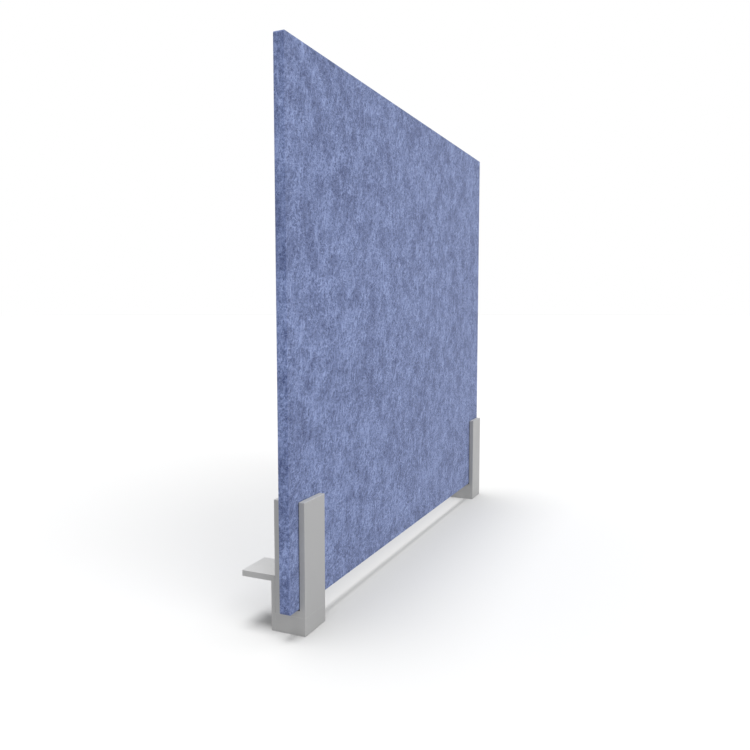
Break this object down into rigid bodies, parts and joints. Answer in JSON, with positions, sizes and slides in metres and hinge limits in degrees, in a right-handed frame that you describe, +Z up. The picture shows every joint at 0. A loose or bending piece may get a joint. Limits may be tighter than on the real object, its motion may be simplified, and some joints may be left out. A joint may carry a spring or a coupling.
{
  "type": "desk privacy panel",
  "caption": "Upright felt board held on edge in the gap between two worktops by two hook brackets, each with a screw clamp.",
  "frame": {"origin": "middle plane of the board, halfway along it, level with the top surface of the worktops", "axes": "+Z up; +Y along the board, from the front bracket to the rear one; +X across it, away from the hook tabs"},
  "size_m": [0.0683, 0.597, 0.5334],
  "materials": {
    "felt": "heathered blue pressed polyester felt",
    "bracket_paint": "silver-grey powder coat, satin",
    "pad_rubber": "black, matte",
    "plate_steel": "zinc plated, satin",
    "screw_steel": "stainless, satin"
  },
  "bodies": {
    "front_bracket": {"front_saddle": "bracket_paint", "front_base_block": "bracket_paint", "front_hook_angle": "bracket_paint", "front_angle_screws": "screw_steel", "front_base_screws": "screw_steel", "front_seat_pad": "pad_rubber", "front_fixed_pad": "pad_rubber", "front_hook_pad": "pad_rubber"},
    "rear_bracket": {"rear_saddle": "bracket_paint", "rear_base_block": "bracket_paint", "rear_hook_angle": "bracket_paint", "rear_angle_screws": "screw_steel", "rear_base_screws": "screw_steel", "rear_seat_pad": "pad_rubber", "rear_fixed_pad": "pad_rubber", "rear_hook_pad": "pad_rubber"},
    "panel": {"felt_panel": "felt"},
    "front_clamp": {"front_clamp_plate": "plate_steel", "front_clamp_pad": "pad_rubber"},
    "front_lower_screw": {"front_lower_set_screw": "screw_steel"},
    "front_upper_screw": {"front_upper_set_screw": "screw_steel"},
    "rear_clamp": {"rear_clamp_plate": "plate_steel", "rear_clamp_pad": "pad_rubber"},
    "rear_lower_screw": {"rear_lower_set_screw": "screw_steel"},
    "rear_upper_screw": {"rear_upper_set_screw": "screw_steel"}
  },
  "joints": [
    {"name": "panel_lift", "type": "slide", "parent": "front_bracket", "child": "panel", "axis": [0, 0, 1], "range_m": [0, 0.12]},
    {"name": "rear_bracket_slide", "type": "slide", "parent": "front_bracket", "child": "rear_bracket", "axis": [0, 1, 0], "range_m": [-0.2, 0.003]},
    {"name": "front_clamp_slide", "type": "slide", "parent": "front_bracket", "child": "front_clamp", "axis": [1, 0, 0], "range_m": [-0.003, 0]},
    {"name": "front_upper_screw_turn", "type": "hinge", "parent": "front_clamp", "child": "front_upper_screw", "pos_m": [-0.0112, -0.2625, 0.05725], "axis": [1, 0, 0], "range_deg": [-1081, 0]},
    {"name": "front_lower_screw_turn", "type": "hinge", "parent": "front_clamp", "child": "front_lower_screw", "pos_m": [-0.0112, -0.2625, 0.02325], "axis": [1, 0, 0], "range_deg": [-1081, 0]},
    {"name": "rear_clamp_slide", "type": "slide", "parent": "rear_bracket", "child": "rear_clamp", "axis": [1, 0, 0], "range_m": [-0.003, 0]},
    {"name": "rear_upper_screw_turn", "type": "hinge", "parent": "rear_clamp", "child": "rear_upper_screw", "pos_m": [-0.0112, 0.276, 0.05725], "axis": [1, 0, 0], "range_deg": [-1081, 0]},
    {"name": "rear_lower_screw_turn", "type": "hinge", "parent": "rear_clamp", "child": "rear_lower_screw", "pos_m": [-0.0112, 0.276, 0.02325], "axis": [1, 0, 0], "range_deg": [-1081, 0]}
  ],
  "couplings": [
    {"joint": "front_upper_screw_turn", "follows": "front_clamp_slide", "rad_per_m": 6283.2},
    {"joint": "front_lower_screw_turn", "follows": "front_clamp_slide", "rad_per_m": 6283.2},
    {"joint": "rear_upper_screw_turn", "follows": "rear_clamp_slide", "rad_per_m": 6283.2},
    {"joint": "rear_lower_screw_turn", "follows": "rear_clamp_slide", "rad_per_m": 6283.2}
  ]
}
